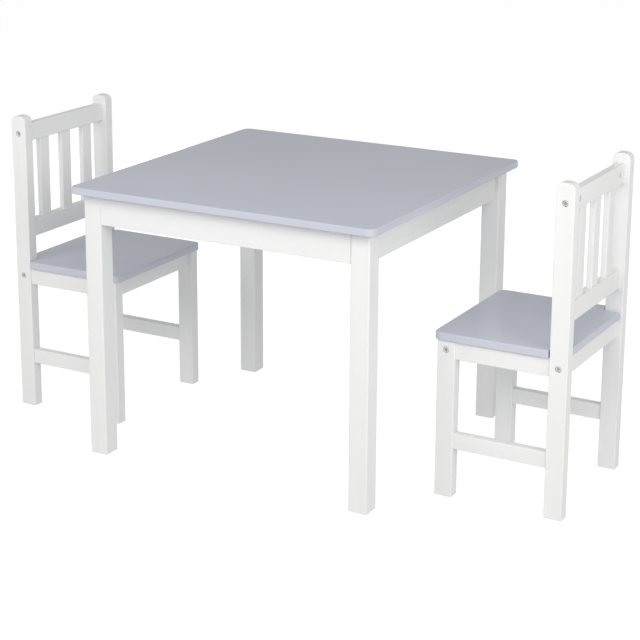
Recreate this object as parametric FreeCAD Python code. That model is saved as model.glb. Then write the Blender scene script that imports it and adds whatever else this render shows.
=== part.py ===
import FreeCAD, Part
import math
import os

from FreeCAD import Vector

# Children's table with two chairs. Millimetres, +Z up. X runs along the line of the two chairs,
# Y across it. The origin is on the floor, below the middle of the whole set.
# "Front" is the -Y side and "left" the -X side. Each chair faces the table.

# ---- table ----
TABLE_LENGTH = 600.0            # top, along X
TABLE_WIDTH = 600.0             # top, along Y
TABLE_HEIGHT = 500.0
TOP_THICKNESS = 13.0
TOP_CORNER_RADIUS = 15.0
TABLE_LEG = 35.0                # square section
TOP_OVERHANG_X = 17.0           # top's edge beyond the legs, left and right
TOP_OVERHANG_Y = 21.0           # top's edge beyond the legs, front and back
APRON_HEIGHT = 55.0
APRON_THICKNESS = 16.0
LONG_APRON_SETBACK = 0.5        # front and back aprons, behind the legs' outer faces
SIDE_APRON_SETBACK = 9.0        # left and right aprons
TOP_SCREW_SPACING = 240.0       # between the two screws of one apron
TOP_SCREW_WOOD = 28.0           # apron wood between the screw's head and the top
TOP_SCREW_COVER = 3.0           # top's wood left above the screw's tip

# ---- chair: its own frame has its back at x = 0, its front towards +x and its middle at y = 0 ----
CHAIR_WIDTH = 280.0             # over the posts
CHAIR_DEPTH = 232.0             # back post's rear face to front leg's front face
CHAIR_HEIGHT = 575.0
SEAT_HEIGHT = 294.0
SEAT_THICKNESS = 14.0
SEAT_FRONT_OVERHANG = 7.0
SEAT_SIDE_OVERHANG = 3.0
SEAT_REAR_INSET = 4.0           # seat tongue, ahead of the posts' rear faces
SEAT_NOTCH_GAP = 2.0            # seat to back post
SEAT_CORNER_RADIUS = 13.0
SEAT_NOTCH_RADIUS = 2.0
POST_DEPTH = 32.0               # posts and legs, along x
POST_WIDTH = 22.0               # posts and legs, along y
POST_TOP_RADIUS = 12.0
RAIL_THICKNESS = 16.0           # every rail and stretcher, centred on the posts and legs
SEAT_RAIL_HEIGHT = 32.0
BACK_RAIL_HEIGHT = 34.0
TOP_BACK_RAIL_DROP = 16.5       # top back rail below the posts' tops
BACK_GAP = 42.5                 # seat to lower back rail
STRETCHER_HEIGHT = 28.0
STRETCHER_FLOOR_GAP = 88.0
SLAT_COUNT = 3
SLAT_WIDTH = 28.0
SLAT_THICKNESS = 10.0
SLAT_OUTER_GAP = 36.0           # back post to the nearest slat
SLAT_TENON = 8.0                # slat's length inside each back rail
SEAT_SCREW_SPACING = 120.0
SEAT_SCREW_WOOD = 20.0          # rail wood between the screw's head and the seat
SEAT_SCREW_COVER = 4.0          # seat's wood left above the screw's tip

# ---- where the chairs stand ----
LEFT_CHAIR_GAP = 12.0           # seat's front edge to the tabletop's edge, along X
RIGHT_CHAIR_GAP = 35.0

# ---- edges and fits ----
LEG_ARRIS = 2.5                 # table legs' long edges
BOARD_ARRIS = 1.8               # tabletop's and seats' edges
WOOD_ARRIS = 1.5                # every other visible timber edge
FOOT_ARRIS = 1.2
GLUE_GAP = 0.05                 # radial, dowels and threads in wood
HOLE_CLEARANCE = 0.25           # radial, bolts and screws passing through
END_GAP = 0.5                   # beyond the end of a dowel, tenon, screw or bolt

# ---- fasteners ----
DOWEL_RADIUS = 3.0
DOWEL_EDGE = 6.0                # dowel's centre from the rail's edge
DOWEL_IN_POST = 12.0            # cross rails' dowels
DOWEL_IN_RAIL = 18.0
DOWEL_TO_BOLT_WALL = 1.75       # wood between a side rail's dowel and the bolt that crosses it
BOLT_RADIUS = 3.0
BOLT_HEAD_RADIUS = 5.0
BOLT_HEAD_HEIGHT = 6.0
BOLT_HEAD_SINK = 1.0            # head below the post's face
BOLT_HEAD_EASE = 0.6
SOCKET_FLATS = 5.0              # hexagon socket in the bolt's head
SOCKET_DEPTH = 3.3
COUNTERBORE_RADIUS = 5.5
BARREL_RADIUS = 5.0
BARREL_INSET = 23.0             # barrel nut's axis from the rail's end
BARREL_SINK = 1.0               # barrel nut's end below the rail's face
BARREL_COVER = 2.5              # wood left beyond the barrel nut's far end
BARREL_SLOT_WIDTH = 1.2
BARREL_SLOT_DEPTH = 1.2
BOLT_PAST_BARREL = 7.0          # bolt's tip beyond the barrel nut's axis
SCREW_RADIUS = 2.0
SCREW_HEAD_RADIUS = 4.0
SCREW_HEAD_HEIGHT = 2.4
SCREW_HEAD_CROWN = 1.1          # rounding of the head's rim
SCREW_CROSS_LENGTH = 4.4        # cross recess
SCREW_CROSS_WIDTH = 0.9
SCREW_CROSS_DEPTH = 1.2
SCREW_POINT = 3.0               # length of the tapered end
SCREW_TIP_RADIUS = 0.3
SCREW_COUNTERBORE = 4.6
BRACKET_THICKNESS = 1.5
BRACKET_MARGIN = 7.5            # bracket below the apron's top and above its bottom
BRACKET_GAP = 6.0               # bracket's diagonal plate to the leg's inner arris
BRACKET_FLANGE = 24.0
BRACKET_EDGE = 8.0              # fastener's centre from the bracket's top or bottom edge
BRACKET_SCREW_COVER = 4.0       # apron wood left beyond the bracket screw's tip
HANGER_IN_LEG = 28.0
HANGER_PAST_NUT = 3.0
NUT_FLATS = 10.0
NUT_HEIGHT = 5.0

# ---- working values ----
CUT_PAST = 1.0                  # how far a cutting body runs past the face that it opens
NEAR = 1e-3                     # lengths closer than this count as equal
PARALLEL = 0.999                # cosine above which an edge counts as along an axis

X_AXIS = Vector(1, 0, 0)
Y_AXIS = Vector(0, 1, 0)
Z_AXIS = Vector(0, 0, 1)

table_x = (LEFT_CHAIR_GAP - RIGHT_CHAIR_GAP) / 2.0
top_underside = TABLE_HEIGHT - TOP_THICKNESS
apron_bottom = top_underside - APRON_HEIGHT
leg_face_x = TABLE_LENGTH / 2.0 - TOP_OVERHANG_X      # legs' outer faces, from the table's middle
leg_face_y = TABLE_WIDTH / 2.0 - TOP_OVERHANG_Y
chair_total_depth = CHAIR_DEPTH + SEAT_FRONT_OVERHANG
post_outer = CHAIR_WIDTH / 2.0
post_inner = post_outer - POST_WIDTH
seat_underside = SEAT_HEIGHT - SEAT_THICKNESS
lower_rail_bottom = SEAT_HEIGHT + BACK_GAP
lower_rail_top = lower_rail_bottom + BACK_RAIL_HEIGHT
top_rail_top = CHAIR_HEIGHT - TOP_BACK_RAIL_DROP
top_rail_bottom = top_rail_top - BACK_RAIL_HEIGHT
bolt_hole_radius = BOLT_RADIUS + HOLE_CLEARANCE
side_dowel_in_post = POST_DEPTH / 2.0 - bolt_hole_radius - DOWEL_TO_BOLT_WALL
back_middle = POST_DEPTH / 2.0                        # rails' centre line between the back posts
front_middle = CHAIR_DEPTH - POST_DEPTH / 2.0         # and between the front legs
table_screw_length = TOP_SCREW_WOOD + TOP_THICKNESS - TOP_SCREW_COVER
seat_screw_length = SEAT_SCREW_WOOD + SEAT_THICKNESS - SEAT_SCREW_COVER


# ---- building blocks ----
def block(x, y, z):
    """A box from (low, high) pairs."""
    return Part.makeBox(x[1] - x[0], y[1] - y[0], z[1] - z[0], Vector(x[0], y[0], z[0]))


def around(middle, size):
    return (middle - size / 2.0, middle + size / 2.0)


def rod(radius, start, direction, length):
    return Part.makeCylinder(radius, length, start, direction)


def edges_along(shape, axis):
    found = []
    for edge in shape.Edges:
        if len(edge.Vertexes) == 2:
            span = edge.Vertexes[1].Point - edge.Vertexes[0].Point
            if abs(span.normalize().dot(axis)) > PARALLEL:
                found.append(edge)
    return found


def edges_at_height(shape, height):
    return [e for e in shape.Edges
            if abs(e.BoundBox.ZMin - height) < NEAR and abs(e.BoundBox.ZMax - height) < NEAR]


def edges_on_sides(shape):
    """Edges that lie wholly in the shape's two extreme planes along Y."""
    box = shape.BoundBox
    return [e for e in shape.Edges
            if any(abs(e.BoundBox.YMin - y) < NEAR and abs(e.BoundBox.YMax - y) < NEAR
                   for y in (box.YMin, box.YMax))]


def drilled(shape, holes):
    return shape.cut(holes).Solids[0]


def eased_rail(x, y, z, axis):
    """A rail with its four long edges rounded; its ends stay square against the posts."""
    rail = block(x, y, z)
    return rail.makeFillet(WOOD_ARRIS, edges_along(rail, axis))


def oriented(shape, start, direction):
    shape.Placement = FreeCAD.Placement(start, FreeCAD.Rotation(Z_AXIS, direction))
    return shape


def moved(shape, placement):
    copy = shape.copy()
    copy.Placement = placement.multiply(copy.Placement)
    return copy


def hexagon_prism(across_flats, height):
    radius = across_flats / math.sqrt(3.0)
    corners = [Vector(radius * math.cos(math.radians(60 * i)), radius * math.sin(math.radians(60 * i)), 0)
               for i in range(7)]
    return Part.Face(Part.makePolygon(corners)).extrude(Vector(0, 0, height))


def save(name, shape):
    shape.exportStep("parts/" + name + ".step")


def save_group(name, solids):
    save(name, Part.makeCompound(solids))


# ---- fasteners, each along +Z from its head's bearing face ----
def screw(length):
    head = Part.makeCylinder(SCREW_HEAD_RADIUS, SCREW_HEAD_HEIGHT, Vector(0, 0, -SCREW_HEAD_HEIGHT))
    head = head.makeFillet(SCREW_HEAD_CROWN, edges_at_height(head, -SCREW_HEAD_HEIGHT))
    recess = (-SCREW_HEAD_HEIGHT - CUT_PAST, -SCREW_HEAD_HEIGHT + SCREW_CROSS_DEPTH)
    long_way, narrow_way = around(0, SCREW_CROSS_LENGTH), around(0, SCREW_CROSS_WIDTH)
    cross = [block(long_way, narrow_way, recess), block(narrow_way, long_way, recess)]
    shank_length = length - SCREW_POINT
    shank = Part.makeCylinder(SCREW_RADIUS, shank_length)
    tip = Part.makeCone(SCREW_RADIUS, SCREW_TIP_RADIUS, SCREW_POINT, Vector(0, 0, shank_length))
    return drilled(head.fuse([shank, tip]), cross)


def socket_bolt(length):
    head = Part.makeCylinder(BOLT_HEAD_RADIUS, BOLT_HEAD_HEIGHT, Vector(0, 0, -BOLT_HEAD_HEIGHT))
    head = head.makeFillet(BOLT_HEAD_EASE, edges_at_height(head, -BOLT_HEAD_HEIGHT))
    socket = hexagon_prism(SOCKET_FLATS, SOCKET_DEPTH)
    socket.translate(Vector(0, 0, -BOLT_HEAD_HEIGHT))
    return drilled(head.fuse(Part.makeCylinder(BOLT_RADIUS, length)), [socket])


def barrel_nut(length, thread_height):
    """A cross dowel along +Z with its threaded hole along Y and a slot in its outer end."""
    barrel = Part.makeCylinder(BARREL_RADIUS, length)
    across = around(0, 2 * (BARREL_RADIUS + CUT_PAST))
    thread = rod(BOLT_RADIUS + GLUE_GAP, Vector(0, across[0], thread_height), Y_AXIS,
                 across[1] - across[0])
    slot = block(across, around(0, BARREL_SLOT_WIDTH), (-CUT_PAST, BARREL_SLOT_DEPTH))
    return drilled(barrel, [thread, slot])


def nut():
    hole = Part.makeCylinder(BOLT_RADIUS + GLUE_GAP, NUT_HEIGHT)
    return drilled(hexagon_prism(NUT_FLATS, NUT_HEIGHT), [hole])


# ---- table ----
corners = [("front_left", -1, -1), ("front_right", 1, -1), ("back_left", -1, 1), ("back_right", 1, 1)]
bracket_height = APRON_HEIGHT - 2 * BRACKET_MARGIN
bracket_middle = apron_bottom + APRON_HEIGHT / 2.0
fastener_heights = [bracket_middle - bracket_height / 2.0 + BRACKET_EDGE,
                    bracket_middle + bracket_height / 2.0 - BRACKET_EDGE]
side_apron_inner = SIDE_APRON_SETBACK + APRON_THICKNESS    # both from the leg's outer faces
long_apron_inner = LONG_APRON_SETBACK + APRON_THICKNESS
diagonal = 2 * TABLE_LEG + BRACKET_GAP * math.sqrt(2.0)    # a + b along the bracket's plate
bracket_screw_length = APRON_THICKNESS - BRACKET_SCREW_COVER + BRACKET_THICKNESS
hanger_length = HANGER_IN_LEG + BRACKET_GAP + BRACKET_THICKNESS + NUT_HEIGHT + HANGER_PAST_NUT


def corner_point(sx, sy, a, b, z):
    """A point a and b inwards from the outer faces of the leg at corner (sx, sy)."""
    return Vector(table_x + sx * (leg_face_x - a), sy * (leg_face_y - b), z)


def inward(sx, sy):
    return Vector(-sx, -sy, 0).normalize()


def hanger_axes(sx, sy):
    """Start points on the leg's inner arris, one per hanger bolt."""
    return [corner_point(sx, sy, TABLE_LEG, TABLE_LEG, z) for z in fastener_heights]


def table_leg(sx, sy):
    outer = corner_point(sx, sy, 0, 0, 0)
    inner = corner_point(sx, sy, TABLE_LEG, TABLE_LEG, 0)
    leg = block(sorted((outer.x, inner.x)), sorted((outer.y, inner.y)), (0, top_underside))
    leg = leg.makeFillet(LEG_ARRIS, edges_along(leg, Z_AXIS))
    leg = leg.makeFillet(FOOT_ARRIS, edges_at_height(leg, 0))
    holes = [rod(BOLT_RADIUS + GLUE_GAP, start - inward(sx, sy) * (HANGER_IN_LEG + END_GAP),
                 inward(sx, sy), HANGER_IN_LEG + END_GAP + LEG_ARRIS)
             for start in hanger_axes(sx, sy)]
    return drilled(leg, holes)


def bracket_outline(offset):
    """The bracket's bent line in (a, b), moved offset towards the table's middle."""
    a0 = side_apron_inner + offset
    b0 = long_apron_inner + offset
    reach = diagonal + offset * math.sqrt(2.0)
    return [(a0, diagonal - side_apron_inner + BRACKET_FLANGE), (a0, reach - a0),
            (reach - b0, b0), (diagonal - long_apron_inner + BRACKET_FLANGE, b0)]


def bracket_screws(sx, sy):
    """(point on the apron's inner face, direction into the apron) of each bracket screw."""
    along_side = diagonal - side_apron_inner + BRACKET_FLANGE / 2.0
    along_long = diagonal - long_apron_inner + BRACKET_FLANGE / 2.0
    places = []
    for z in fastener_heights:
        places.append((corner_point(sx, sy, side_apron_inner, along_side, z), X_AXIS * sx))
        places.append((corner_point(sx, sy, along_long, long_apron_inner, z), Y_AXIS * sy))
    return places


def corner_bracket(sx, sy):
    low = bracket_middle - bracket_height / 2.0
    outline = bracket_outline(0) + bracket_outline(BRACKET_THICKNESS)[::-1]
    points = [corner_point(sx, sy, a, b, low) for a, b in outline]
    plate = Part.Face(Part.makePolygon(points + points[:1])).extrude(Vector(0, 0, bracket_height))
    holes = [rod(bolt_hole_radius, start, inward(sx, sy), 2 * BRACKET_GAP + BRACKET_THICKNESS)
             for start in hanger_axes(sx, sy)]
    holes += [rod(SCREW_RADIUS + HOLE_CLEARANCE, point - way * 2 * BRACKET_THICKNESS, way,
                  3 * BRACKET_THICKNESS) for point, way in bracket_screws(sx, sy)]
    return drilled(plate, holes)


def top_screw_places():
    """Middle of each apron in plan, and the direction it runs."""
    side_x = leg_face_x - SIDE_APRON_SETBACK - APRON_THICKNESS / 2.0
    long_y = leg_face_y - LONG_APRON_SETBACK - APRON_THICKNESS / 2.0
    return {"front": (Vector(table_x, -long_y, 0), X_AXIS), "back": (Vector(table_x, long_y, 0), X_AXIS),
            "left": (Vector(table_x - side_x, 0, 0), Y_AXIS),
            "right": (Vector(table_x + side_x, 0, 0), Y_AXIS)}


def apron(name):
    middle, way = top_screw_places()[name]
    if way == X_AXIS:
        length = 2 * (leg_face_x - TABLE_LEG)
        board = eased_rail(around(middle.x, length), around(middle.y, APRON_THICKNESS),
                           (apron_bottom, top_underside), way)
    else:
        length = 2 * (leg_face_y - TABLE_LEG)
        board = eased_rail(around(middle.x, APRON_THICKNESS), around(middle.y, length),
                           (apron_bottom, top_underside), way)
    holes = []
    for start in top_screw_starts(name):
        holes.append(rod(SCREW_RADIUS + HOLE_CLEARANCE, start, Z_AXIS, TOP_SCREW_WOOD + CUT_PAST))
        below = Vector(start.x, start.y, apron_bottom - CUT_PAST)
        holes.append(rod(SCREW_COUNTERBORE, below, Z_AXIS, start.z - below.z))
    for _, sx, sy in corners:
        for point, direction in bracket_screws(sx, sy):
            if board.BoundBox.isInside(point + direction):
                depth = bracket_screw_length - BRACKET_THICKNESS + END_GAP
                holes.append(rod(SCREW_RADIUS + GLUE_GAP, point - direction * CUT_PAST, direction,
                                 depth + CUT_PAST))
    return drilled(board, holes)


def top_screw_starts(name):
    middle, way = top_screw_places()[name]
    level = Vector(middle.x, middle.y, top_underside - TOP_SCREW_WOOD)
    return [level - way * (TOP_SCREW_SPACING / 2.0), level + way * (TOP_SCREW_SPACING / 2.0)]


def tabletop():
    board = block(around(table_x, TABLE_LENGTH), around(0, TABLE_WIDTH), (top_underside, TABLE_HEIGHT))
    board = board.makeFillet(TOP_CORNER_RADIUS, edges_along(board, Z_AXIS))
    board = board.makeFillet(BOARD_ARRIS, edges_at_height(board, TABLE_HEIGHT)
                             + edges_at_height(board, top_underside))
    holes = [rod(SCREW_RADIUS + GLUE_GAP, Vector(start.x, start.y, top_underside - CUT_PAST), Z_AXIS,
                 TOP_THICKNESS - TOP_SCREW_COVER + END_GAP + CUT_PAST)
             for name in top_screw_places() for start in top_screw_starts(name)]
    return drilled(board, holes)


def build_table():
    save("table_top", tabletop())
    for name in top_screw_places():
        save("table_apron_" + name, apron(name))
    hangers, nuts, plate_screws = [], [], []
    for name, sx, sy in corners:
        save("table_leg_" + name, table_leg(sx, sy))
        save("corner_bracket_" + name, corner_bracket(sx, sy))
        way = inward(sx, sy)
        for start in hanger_axes(sx, sy):
            hangers.append(rod(BOLT_RADIUS, start - way * HANGER_IN_LEG, way, hanger_length))
            nuts.append(oriented(nut(), start + way * (BRACKET_GAP + BRACKET_THICKNESS), way))
        for point, direction in bracket_screws(sx, sy):
            plate_screws.append(oriented(screw(bracket_screw_length),
                                         point - direction * BRACKET_THICKNESS, direction))
    top_screws = [oriented(screw(table_screw_length), start, Z_AXIS)
                  for name in top_screw_places() for start in top_screw_starts(name)]
    save_group("table_hanger_bolts", hangers)
    save_group("table_hanger_nuts", nuts)
    save_group("corner_bracket_screws", plate_screws)
    save_group("table_top_screws", top_screws)


# ---- chair ----
def dowel_heights(middle, rail_height):
    spread = rail_height / 2.0 - DOWEL_EDGE
    return [middle - spread, middle + spread]


class Chair:
    """One chair's pieces, with the list of holes and fasteners that each joint adds."""

    # (name, centre line x, bottom z, height, bolted, face the barrel nuts go in from: -1 rear, 1 front)
    CROSS_RAILS = [
        ("front_rail", front_middle, seat_underside - SEAT_RAIL_HEIGHT, SEAT_RAIL_HEIGHT, True, -1),
        ("rear_rail", back_middle, seat_underside - SEAT_RAIL_HEIGHT, SEAT_RAIL_HEIGHT, True, 1),
        ("lower_back_rail", back_middle, lower_rail_bottom, BACK_RAIL_HEIGHT, False, 0),
        ("top_back_rail", back_middle, top_rail_bottom, BACK_RAIL_HEIGHT, True, -1)]
    # (name, bottom z, height)
    SIDE_RAILS = [("side_rail", seat_underside - SEAT_RAIL_HEIGHT, SEAT_RAIL_HEIGHT),
                  ("stretcher", STRETCHER_FLOOR_GAP, STRETCHER_HEIGHT)]

    def __init__(self):
        self.pieces = {}
        self.holes = {}
        self.bolts, self.barrels, self.dowels, self.screws = [], [], [], []
        self.add_posts()
        self.add_cross_rails()
        self.add_side_rails()
        self.add_slats()
        self.add_seat()

    def add(self, name, shape):
        self.pieces[name] = shape
        self.holes[name] = []

    def add_posts(self):
        for side, sy in (("left", 1), ("right", -1)):
            y = sorted((sy * post_inner, sy * post_outer))
            post = block((0, POST_DEPTH), y, (0, CHAIR_HEIGHT))
            crown = [e for e in edges_along(post, Y_AXIS) if e.BoundBox.ZMin > CHAIR_HEIGHT - NEAR]
            post = post.makeFillet(POST_TOP_RADIUS, crown)
            self.add("back_post_" + side, self.eased_upright(post))
            leg = block((CHAIR_DEPTH - POST_DEPTH, CHAIR_DEPTH), y, (0, seat_underside))
            self.add("front_leg_" + side, self.eased_upright(leg))

    @staticmethod
    def eased_upright(upright):
        upright = upright.makeFillet(WOOD_ARRIS, [e for e in edges_on_sides(upright)
                                                  if e.BoundBox.ZMax > NEAR])
        return upright.makeFillet(FOOT_ARRIS, edges_at_height(upright, 0))

    def uprights_at(self, x):
        kind = "back_post_" if x < CHAIR_DEPTH / 2.0 else "front_leg_"
        return [(kind + "left", 1), (kind + "right", -1)]

    def add_cross_rails(self):
        for name, x, bottom, height, bolted, nut_face in self.CROSS_RAILS:
            middle = bottom + height / 2.0
            self.add(name, eased_rail(around(x, RAIL_THICKNESS), (-post_inner, post_inner),
                                      (bottom, bottom + height), Y_AXIS))
            for upright, sy in self.uprights_at(x):
                outwards = Y_AXIS * sy
                for z in dowel_heights(middle, height):
                    self.dowel(upright, name, Vector(x, sy * post_inner, z), outwards,
                               DOWEL_IN_POST, DOWEL_IN_RAIL)
                if bolted:
                    self.bolt(upright, name, x, sy, middle, nut_face)

    def dowel(self, upright, rail, joint, towards_upright, in_upright, in_rail):
        """A dowel across the joint point between an upright and a rail's end."""
        start = joint - towards_upright * in_rail
        hole = rod(DOWEL_RADIUS + GLUE_GAP, start, towards_upright, in_upright + in_rail)
        self.holes[upright].append(hole)
        self.holes[rail].append(hole)
        self.dowels.append(rod(DOWEL_RADIUS, start + towards_upright * END_GAP, towards_upright,
                               in_upright + in_rail - 2 * END_GAP))

    def bolt(self, upright, rail, x, sy, z, nut_face):
        outwards = Y_AXIS * sy
        bearing = post_outer - BOLT_HEAD_SINK - BOLT_HEAD_HEIGHT
        nut_y = post_inner - BARREL_INSET
        length = bearing - nut_y + BOLT_PAST_BARREL
        face = Vector(x, sy * bearing, z)
        self.bolts.append(oriented(socket_bolt(length), face, outwards * -1))
        passage = rod(bolt_hole_radius, face, outwards * -1, length + END_GAP)
        sink = rod(COUNTERBORE_RADIUS, face, outwards, BOLT_HEAD_HEIGHT + BOLT_HEAD_SINK + CUT_PAST)
        self.holes[upright] += [passage, sink]
        barrel_length = RAIL_THICKNESS - BARREL_SINK - BARREL_COVER
        mouth = Vector(x + nut_face * RAIL_THICKNESS / 2.0, sy * nut_y, z)
        into = X_AXIS * -nut_face
        barrel = barrel_nut(barrel_length, RAIL_THICKNESS / 2.0 - BARREL_SINK)
        self.barrels.append(oriented(barrel, mouth + into * BARREL_SINK, into))
        pocket = rod(BARREL_RADIUS + GLUE_GAP, mouth - into * CUT_PAST, into,
                     barrel_length + BARREL_SINK + CUT_PAST)
        self.holes[rail] += [passage, pocket]

    def add_side_rails(self):
        for kind, bottom, height in self.SIDE_RAILS:
            for side, sy in (("left", 1), ("right", -1)):
                y = sy * (post_inner + POST_WIDTH / 2.0)
                name = kind + "_" + side
                front_end = CHAIR_DEPTH - POST_DEPTH
                self.add(name, eased_rail((POST_DEPTH, front_end), around(y, RAIL_THICKNESS),
                                          (bottom, bottom + height), X_AXIS))
                for z in dowel_heights(bottom + height / 2.0, height):
                    self.dowel("back_post_" + side, name, Vector(POST_DEPTH, y, z), X_AXIS * -1,
                               side_dowel_in_post, DOWEL_IN_RAIL)
                    self.dowel("front_leg_" + side, name, Vector(front_end, y, z), X_AXIS,
                               side_dowel_in_post, DOWEL_IN_RAIL)

    def slat_blank(self, y, play):
        """One slat, or with some play the mortise that it fits."""
        ends = (lower_rail_top - SLAT_TENON - play, top_rail_bottom + SLAT_TENON + play)
        slat = block(around(back_middle, SLAT_THICKNESS + 2 * play), around(y, SLAT_WIDTH + 2 * play), ends)
        return slat.makeFillet(WOOD_ARRIS + play, edges_along(slat, Z_AXIS))

    def add_slats(self):
        first = -post_inner + SLAT_OUTER_GAP + SLAT_WIDTH / 2.0
        pitch = -2 * first / (SLAT_COUNT - 1)
        for number in range(SLAT_COUNT):
            y = first + number * pitch
            self.add("slat_%d" % (number + 1), self.slat_blank(y, 0))
            mortise = self.slat_blank(y, GLUE_GAP)
            self.holes["lower_back_rail"].append(mortise)
            self.holes["top_back_rail"].append(mortise)

    def add_seat(self):
        seat = block((SEAT_REAR_INSET, chair_total_depth),
                     around(0, CHAIR_WIDTH + 2 * SEAT_SIDE_OVERHANG), (seat_underside, SEAT_HEIGHT))
        notch_front = POST_DEPTH + SEAT_NOTCH_GAP
        for sy in (-1, 1):
            side = sorted((sy * (post_inner - SEAT_NOTCH_GAP), sy * CHAIR_WIDTH))
            seat = drilled(seat, [block((0, notch_front), side, (0, CHAIR_HEIGHT))])
        uprights = edges_along(seat, Z_AXIS)
        front_corners = [e for e in uprights if e.BoundBox.XMin > chair_total_depth - NEAR]
        seat = seat.makeFillet(SEAT_CORNER_RADIUS, front_corners)
        rear_corners = [e for e in edges_along(seat, Z_AXIS)
                        if e.BoundBox.XMax < notch_front + NEAR]
        seat = seat.makeFillet(SEAT_NOTCH_RADIUS, rear_corners)
        seat = seat.makeFillet(BOARD_ARRIS, edges_at_height(seat, SEAT_HEIGHT)
                               + edges_at_height(seat, seat_underside))
        self.add("seat", seat)
        for name, x in (("front_rail", front_middle), ("rear_rail", back_middle)):
            for y in (-SEAT_SCREW_SPACING / 2.0, SEAT_SCREW_SPACING / 2.0):
                start = Vector(x, y, seat_underside - SEAT_SCREW_WOOD)
                below = Vector(x, y, seat_underside - SEAT_RAIL_HEIGHT - CUT_PAST)
                self.screws.append(oriented(screw(seat_screw_length), start, Z_AXIS))
                self.holes[name].append(rod(SCREW_RADIUS + HOLE_CLEARANCE, start, Z_AXIS,
                                            SEAT_SCREW_WOOD + CUT_PAST))
                self.holes[name].append(rod(SCREW_COUNTERBORE, below, Z_AXIS, start.z - below.z))
                self.holes["seat"].append(rod(SCREW_RADIUS + GLUE_GAP, start, Z_AXIS,
                                              seat_screw_length + END_GAP))

    def save_at(self, prefix, placement):
        """Write every piece, moved from the chair's own frame to where the chair stands."""
        for name, shape in self.pieces.items():
            finished = drilled(shape, self.holes[name]) if self.holes[name] else shape
            save(prefix + name, moved(finished, placement))
        groups = {"bolts": self.bolts, "barrel_nuts": self.barrels, "dowels": self.dowels,
                  "seat_screws": self.screws}
        for name, solids in groups.items():
            save_group(prefix + name, [moved(solid, placement) for solid in solids])


def build_chairs():
    chair = Chair()
    left_back = table_x - TABLE_LENGTH / 2.0 - LEFT_CHAIR_GAP - chair_total_depth
    right_back = table_x + TABLE_LENGTH / 2.0 + RIGHT_CHAIR_GAP + chair_total_depth
    chair.save_at("left_chair_", FreeCAD.Placement(Vector(left_back, 0, 0), FreeCAD.Rotation(Z_AXIS, 0)))
    chair.save_at("right_chair_", FreeCAD.Placement(Vector(right_back, 0, 0), FreeCAD.Rotation(Z_AXIS, 180)))


os.makedirs("parts", exist_ok=True)
build_table()
build_chairs()
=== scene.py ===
import math

import bmesh
import bpy
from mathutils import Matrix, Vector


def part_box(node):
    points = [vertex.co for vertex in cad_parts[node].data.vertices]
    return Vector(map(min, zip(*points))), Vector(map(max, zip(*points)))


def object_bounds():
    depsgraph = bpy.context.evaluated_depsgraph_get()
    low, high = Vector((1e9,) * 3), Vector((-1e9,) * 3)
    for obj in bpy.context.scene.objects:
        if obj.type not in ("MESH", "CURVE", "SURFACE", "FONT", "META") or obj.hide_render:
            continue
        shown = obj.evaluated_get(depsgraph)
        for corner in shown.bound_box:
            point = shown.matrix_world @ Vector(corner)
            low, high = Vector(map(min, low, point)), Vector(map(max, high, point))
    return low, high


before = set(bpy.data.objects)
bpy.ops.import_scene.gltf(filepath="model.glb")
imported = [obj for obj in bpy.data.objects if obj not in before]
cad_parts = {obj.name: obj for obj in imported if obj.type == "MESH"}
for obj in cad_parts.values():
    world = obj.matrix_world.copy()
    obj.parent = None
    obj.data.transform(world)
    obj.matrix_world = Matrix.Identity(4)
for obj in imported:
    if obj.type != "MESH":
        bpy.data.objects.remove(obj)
cad_low, cad_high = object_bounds()

# ---------------------------------------------------------------- camera, in metres and degrees
CAMERA_PLACE = (1.509, -2.692, 1.206)
CAMERA_AZIMUTH = 30.14          # seen from the right of the front
CAMERA_ELEVATION = 14.75
CAMERA_LENS = 98.46
CAMERA_SHIFT = (0.06, -0.14)
CAMERA_REACH = 200.0
SENSOR_WIDTH = 36.0

# ---------------------------------------------------------------- studio
# Each soft box has a place, a power in watts and the side of its square.
SOFT_BOXES = {
    "key_box": ((0.87, -1.95, 1.78), 20.0, 1.4),
    "front_box": ((-0.90, -2.00, 1.60), 17.5, 1.4),
    "side_box": ((2.00, -0.78, 1.04), 14.5, 1.2),
    "back_box": ((-1.30, 2.20, 0.36), 17.0, 0.7),
}
WALL_LIGHT = 0.20               # light from the walls, up to WALL_TOP
CEILING_LIGHT = 0.47            # and from the ceiling, above CEILING_EDGE
WALL_TOP = 0.05                 # both are sines of the elevation
CEILING_EDGE = 0.24
BACKDROP_WHITE = 1.0            # how bright the camera sees the walls and ceiling
FLOOR_SHADE = 0.25              # the floor's own reflectance
FLOOR_ROUGHNESS = 0.9
FLOOR_GLOW = 0.50               # light that the floor gives to the object
FLOOR_WHITE = 0.87              # light that the camera sees it give
FLOOR_RADIUS = 60.0
FLOOR_SEGMENTS = 96

# ---------------------------------------------------------------- colours
WHITE_LACQUER = (0.82, 0.82, 0.815, 1)
WHITE_LACQUER_SHADE = (0.775, 0.775, 0.765, 1)
# painted highlight: the lighter colour that white lacquer takes along edges and arrises
WHITE_LACQUER_EDGE_HIGHLIGHT = (0.86, 0.86, 0.86, 1)
GREY_LACQUER = (0.548, 0.574, 0.652, 1)
GREY_LACQUER_SHADE = (0.521, 0.546, 0.622, 1)
# painted highlight: the lighter colour that grey lacquer takes along edges and arrises
GREY_LACQUER_EDGE_HIGHLIGHT = (0.585, 0.612, 0.665, 1)
ZINC_LIGHT = (0.83, 0.83, 0.84, 1)
ZINC_DARK = (0.64, 0.64, 0.66, 1)
BEECH_LIGHT = (0.62, 0.43, 0.25, 1)
BEECH_DARK = (0.47, 0.29, 0.15, 1)
WHITE = (1, 1, 1, 1)

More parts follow.
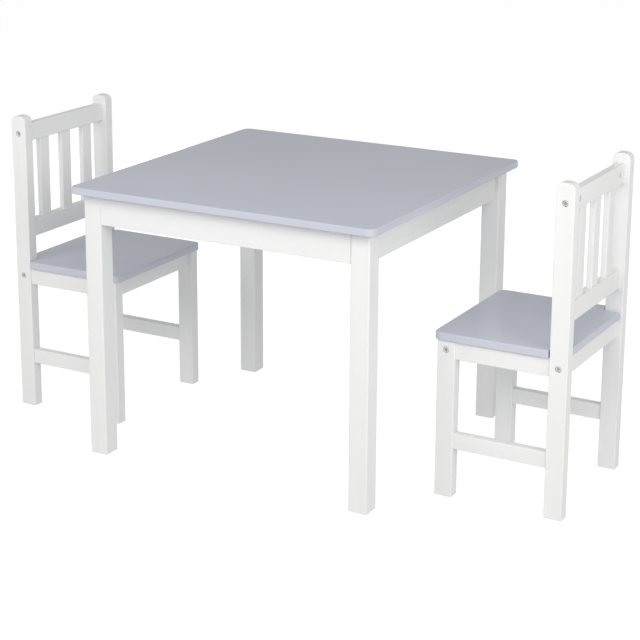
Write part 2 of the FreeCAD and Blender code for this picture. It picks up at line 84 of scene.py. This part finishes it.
# ---------------------------------------------------------------- finishes
# Scales are patterns per metre, heights are metres, and a range is a roughness from low to high.
NOISE_RANGE = (0.3, 0.7)        # the values that a noise mostly takes
EVEN = (1, 1, 1)                # no stretch
GRAIN_STRETCH = 0.06            # the grain's scale along the wood, as a share of that across it
GRAIN_SCALE = 190.0
GRAIN_HEIGHT = 0.00016
FIGURE_SCALE = 26.0
FIGURE_START = (0.31, 0.17, 0.53)
FIGURE_RANGE = (0.35, 0.7)
FIGURE_SHARE = 0.55
FILM_SCALE = 620.0
FILM_HEIGHT = 0.00005
WOOD_CLOUD_SCALE = 9.0
WOOD_ROUGHNESS = (0.34, 0.46)
WOOD_SPECULAR = 0.42
WOOD_COAT = 0.12
WOOD_COAT_ROUGHNESS = 0.22
STIPPLE_SCALE = 900.0
STIPPLE_HEIGHT = 0.00002
WAVE_SCALE = 34.0
WAVE_START = (0.4, 0.1, 0.2)
WAVE_HEIGHT = 0.00006
BOARD_CLOUD_SCALE = 5.5
BOARD_CLOUD_START = (0.1, 0.7, 0.3)
BOARD_CLOUD_SHARE = 0.7
BOARD_ROUGHNESS = (0.13, 0.20)
BOARD_SPECULAR = 0.5
CRYSTAL_SCALE = 700.0
CRYSTAL_HEIGHT = 0.00002
DULLING_SCALE = 150.0
DULLING_SHARE = 0.8
ZINC_ROUGHNESS = (0.28, 0.46)
ZINC_METALLIC = 0.6
FLECK_SCALE = 240.0
FLECK_HEIGHT = 0.00008
BEECH_ROUGHNESS = (0.55, 0.7)
ARRIS = 0.0016                  # how far the painted highlight on an edge reaches
EDGE_HIGHLIGHT_SHARE = 0.35                  # how strongly an edge shows the painted highlight
EDGE_RANGE = (0.995, 0.86)      # cosine between the true and the rounded normal, on the flat and on an edge
EDGE_SAMPLES = 6

# sockets of the Mix node when it mixes colours
FIRST_COLOUR, SECOND_COLOUR, MIXED_COLOUR = 6, 7, 2


# ---------------------------------------------------------------- materials
class Nodes:
    """A material's node tree, with short calls for the nodes that the finishes share."""

    def __init__(self, name):
        self.material = bpy.data.materials.new(name)
        self.material.use_nodes = True
        self.tree = self.material.node_tree
        self.shader = self.tree.nodes["Principled BSDF"]

    def add(self, kind, **settings):
        node = self.tree.nodes.new(kind)
        for key, value in settings.items():
            setattr(node, key, value)
        return node

    def link(self, source, target):
        self.tree.links.new(source, target)

    def places(self, scale, shift=(0, 0, 0)):
        """Positions on the object in the row frame, stretched by scale."""
        where = self.add("ShaderNodeTexCoord")
        mapping = self.add("ShaderNodeMapping")
        mapping.inputs["Location"].default_value = shift
        mapping.inputs["Scale"].default_value = scale
        self.link(where.outputs["Object"], mapping.inputs["Vector"])
        return mapping.outputs["Vector"]

    def noise(self, where, scale, detail=3.0, roughness=0.55, distortion=0.0):
        noise = self.add("ShaderNodeTexNoise")
        noise.inputs["Scale"].default_value = scale
        noise.inputs["Detail"].default_value = detail
        noise.inputs["Roughness"].default_value = roughness
        noise.inputs["Distortion"].default_value = distortion
        self.link(where, noise.inputs["Vector"])
        return noise.outputs["Fac"]

    def spread(self, value, before, after):
        """value, taken from the range before to the range after."""
        node = self.add("ShaderNodeMapRange")
        node.inputs["From Min"].default_value, node.inputs["From Max"].default_value = before
        node.inputs["To Min"].default_value, node.inputs["To Max"].default_value = after
        self.link(value, node.inputs["Value"])
        return node.outputs["Result"]

    def mix(self, share, first, second):
        node = self.add("ShaderNodeMix", data_type="RGBA")
        for number, colour in ((FIRST_COLOUR, first), (SECOND_COLOUR, second)):
            socket = node.inputs[number]
            if isinstance(colour, tuple):
                socket.default_value = colour
            else:
                self.link(colour, socket)
        self.link(share, node.inputs["Factor"])
        return node.outputs[MIXED_COLOUR]

    def edges(self):
        """Painted highlight along edges and arrises: 0 on the flat, up to the full highlight share on the
        edge itself.
        """
        rounded = self.add("ShaderNodeBevel", samples=EDGE_SAMPLES)
        rounded.inputs["Radius"].default_value = ARRIS
        true = self.add("ShaderNodeNewGeometry")
        dot = self.add("ShaderNodeVectorMath", operation="DOT_PRODUCT")
        self.link(rounded.outputs["Normal"], dot.inputs[0])
        self.link(true.outputs["Normal"], dot.inputs[1])
        return self.spread(dot.outputs["Value"], EDGE_RANGE, (0.0, EDGE_HIGHLIGHT_SHARE))

    def bump(self, height, distance, before=None):
        node = self.add("ShaderNodeBump")
        node.inputs["Distance"].default_value = distance
        self.link(height, node.inputs["Height"])
        if before is not None:
            self.link(before, node.inputs["Normal"])
        return node.outputs["Normal"]


def lacquered_wood(name, along):
    """White satin lacquer on planed wood. The grain runs along axis number `along` and shows faintly."""
    n = Nodes(name)
    stretch = list(EVEN)
    stretch[along] = GRAIN_STRETCH
    grain = n.noise(n.places(stretch), GRAIN_SCALE, detail=4.0, roughness=0.62)
    figure = n.noise(n.places(stretch, FIGURE_START), FIGURE_SCALE, detail=2.0, distortion=0.6)
    film = n.noise(n.places(EVEN), FILM_SCALE, detail=2.0)
    cloud = n.noise(n.places(EVEN), WOOD_CLOUD_SCALE, detail=2.0)
    base = n.mix(n.spread(figure, FIGURE_RANGE, (0.0, FIGURE_SHARE)), WHITE_LACQUER, WHITE_LACQUER_SHADE)
    # painted highlight: the paint colour is mixed towards a lighter one along edges and arrises
    n.link(n.mix(n.edges(), base, WHITE_LACQUER_EDGE_HIGHLIGHT), n.shader.inputs["Base Color"])
    n.link(n.spread(cloud, NOISE_RANGE, WOOD_ROUGHNESS), n.shader.inputs["Roughness"])
    n.link(n.bump(film, FILM_HEIGHT, n.bump(grain, GRAIN_HEIGHT)), n.shader.inputs["Normal"])
    n.shader.inputs["Specular IOR Level"].default_value = WOOD_SPECULAR
    n.shader.inputs["Coat Weight"].default_value = WOOD_COAT
    n.shader.inputs["Coat Roughness"].default_value = WOOD_COAT_ROUGHNESS
    return n.material


def lacquered_board(name):
    """Blue-grey satin lacquer, rolled on smooth board: a fine stipple and no grain."""
    n = Nodes(name)
    stipple = n.noise(n.places(EVEN), STIPPLE_SCALE, detail=2.0, roughness=0.5)
    waves = n.noise(n.places(EVEN, WAVE_START), WAVE_SCALE, detail=1.5)
    cloud = n.noise(n.places(EVEN, BOARD_CLOUD_START), BOARD_CLOUD_SCALE, detail=3.0)
    base = n.mix(n.spread(cloud, NOISE_RANGE, (0.0, BOARD_CLOUD_SHARE)), GREY_LACQUER, GREY_LACQUER_SHADE)
    # painted highlight: the paint colour is mixed towards a lighter one along edges and arrises
    n.link(n.mix(n.edges(), base, GREY_LACQUER_EDGE_HIGHLIGHT), n.shader.inputs["Base Color"])
    n.link(n.spread(cloud, NOISE_RANGE, BOARD_ROUGHNESS), n.shader.inputs["Roughness"])
    n.link(n.bump(stipple, STIPPLE_HEIGHT, n.bump(waves, WAVE_HEIGHT)), n.shader.inputs["Normal"])
    n.shader.inputs["Specular IOR Level"].default_value = BOARD_SPECULAR
    return n.material


def zinc_plated(name):
    """Zinc-plated steel: dull crystals and darker patches at random."""
    n = Nodes(name)
    crystals = n.noise(n.places(EVEN), CRYSTAL_SCALE, detail=3.0)
    dulling = n.noise(n.places(EVEN), DULLING_SCALE, detail=2.0)
    base = n.mix(n.spread(dulling, NOISE_RANGE, (0.0, DULLING_SHARE)), ZINC_LIGHT, ZINC_DARK)
    n.link(base, n.shader.inputs["Base Color"])
    n.link(n.spread(crystals, NOISE_RANGE, ZINC_ROUGHNESS), n.shader.inputs["Roughness"])
    n.link(n.bump(crystals, CRYSTAL_HEIGHT), n.shader.inputs["Normal"])
    n.shader.inputs["Metallic"].default_value = ZINC_METALLIC
    return n.material


def bare_beech(name):
    """Unpainted beech, as dowels are: lighter and darker flecks."""
    n = Nodes(name)
    flecks = n.noise(n.places(EVEN), FLECK_SCALE, detail=4.0)
    base = n.mix(n.spread(flecks, NOISE_RANGE, (0.0, 1.0)), BEECH_LIGHT, BEECH_DARK)
    n.link(base, n.shader.inputs["Base Color"])
    n.link(n.spread(flecks, NOISE_RANGE, BEECH_ROUGHNESS), n.shader.inputs["Roughness"])
    n.link(n.bump(flecks, FLECK_HEIGHT), n.shader.inputs["Normal"])
    return n.material


def longest_axis(name):
    """The number of the axis that a node is longest along."""
    low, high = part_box(name)
    extent = high - low
    return max(range(3), key=lambda axis: extent[axis])


def dress_nodes():
    """Every CAD node keeps its shape and takes the finish of its material slot."""
    wood = [lacquered_wood("white_lacquer_" + letter, axis) for axis, letter in enumerate("xyz")]
    board = lacquered_board("grey_lacquer")
    zinc = zinc_plated("zinc_plating")
    beech = bare_beech("bare_beech")
    for name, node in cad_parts.items():
        slot = node.material_slots[0]
        finish = slot.material.name
        if finish == "white_paint":
            slot.material = wood[longest_axis(name)]
        elif finish == "grey_paint":
            slot.material = board
        elif finish == "zinc_steel":
            slot.material = zinc
        else:
            slot.material = beech


# ---------------------------------------------------------------- stage
def make_floor():
    """A plain floor that looks white to the camera and gives the object a dimmer light than that."""
    mesh = bpy.data.meshes.new("floor")
    form = bmesh.new()
    bmesh.ops.create_circle(form, cap_ends=True, segments=FLOOR_SEGMENTS, radius=FLOOR_RADIUS)
    form.to_mesh(mesh)
    form.free()
    floor = bpy.data.objects.new("floor", mesh)
    bpy.context.scene.collection.objects.link(floor)
    floor.location.z = cad_low.z
    n = Nodes("studio_floor")
    n.shader.inputs["Base Color"].default_value = (FLOOR_SHADE, FLOOR_SHADE, FLOOR_SHADE, 1)
    n.shader.inputs["Roughness"].default_value = FLOOR_ROUGHNESS
    n.shader.inputs["Specular IOR Level"].default_value = 0.0
    n.shader.inputs["Emission Color"].default_value = WHITE
    seen = n.add("ShaderNodeLightPath").outputs["Is Camera Ray"]
    n.link(n.spread(seen, (0.0, 1.0), (FLOOR_GLOW, FLOOR_WHITE)), n.shader.inputs["Emission Strength"])
    mesh.materials.append(n.material)


def make_world():
    """Walls that look white to the camera. They light the object dimly, and the ceiling more."""
    world = bpy.data.worlds.new("studio")
    bpy.context.scene.world = world
    world.use_nodes = True
    tree = world.node_tree
    background = tree.nodes["Background"]
    where = tree.nodes.new("ShaderNodeTexCoord")
    split = tree.nodes.new("ShaderNodeSeparateXYZ")
    seen = tree.nodes.new("ShaderNodeLightPath")
    ramp = tree.nodes.new("ShaderNodeMapRange")
    ramp.interpolation_type = "SMOOTHSTEP"
    ramp.inputs["From Min"].default_value = WALL_TOP
    ramp.inputs["From Max"].default_value = CEILING_EDGE
    ramp.inputs["To Min"].default_value = WALL_LIGHT
    ramp.inputs["To Max"].default_value = CEILING_LIGHT
    look = tree.nodes.new("ShaderNodeMix")
    look.inputs["B"].default_value = BACKDROP_WHITE
    tree.links.new(where.outputs["Generated"], split.inputs["Vector"])
    tree.links.new(split.outputs["Z"], ramp.inputs["Value"])
    tree.links.new(seen.outputs["Is Camera Ray"], look.inputs["Factor"])
    tree.links.new(ramp.outputs["Result"], look.inputs["A"])
    tree.links.new(look.outputs["Result"], background.inputs["Strength"])
    background.inputs["Color"].default_value = WHITE


def make_soft_box(name, place, power, side):
    """A square soft box that faces the middle of the object. It shows in no reflection."""
    lamp = bpy.data.lights.new(name, "AREA")
    lamp.shape = "SQUARE"
    lamp.size = side
    lamp.energy = power
    light = bpy.data.objects.new(name, lamp)
    light.location = place
    light.visible_camera = False
    light.visible_glossy = False
    towards = (cad_low + cad_high) / 2 - light.location
    light.rotation_euler = towards.to_track_quat("-Z", "Y").to_euler()
    bpy.context.scene.collection.objects.link(light)


def make_camera():
    """The camera, turned and tilted but not rolled."""
    data = bpy.data.cameras.new("camera")
    data.lens = CAMERA_LENS
    data.sensor_width = SENSOR_WIDTH
    data.shift_x, data.shift_y = CAMERA_SHIFT
    data.clip_end = CAMERA_REACH
    camera = bpy.data.objects.new("camera", data)
    camera.location = CAMERA_PLACE
    camera.rotation_euler = (math.radians(90 - CAMERA_ELEVATION), 0, math.radians(CAMERA_AZIMUTH))
    bpy.context.scene.collection.objects.link(camera)
    bpy.context.scene.camera = camera


dress_nodes()
make_floor()
make_world()
for box, settings in SOFT_BOXES.items():
    make_soft_box(box, *settings)
make_camera()
bpy.context.scene.view_settings.view_transform = "Standard"
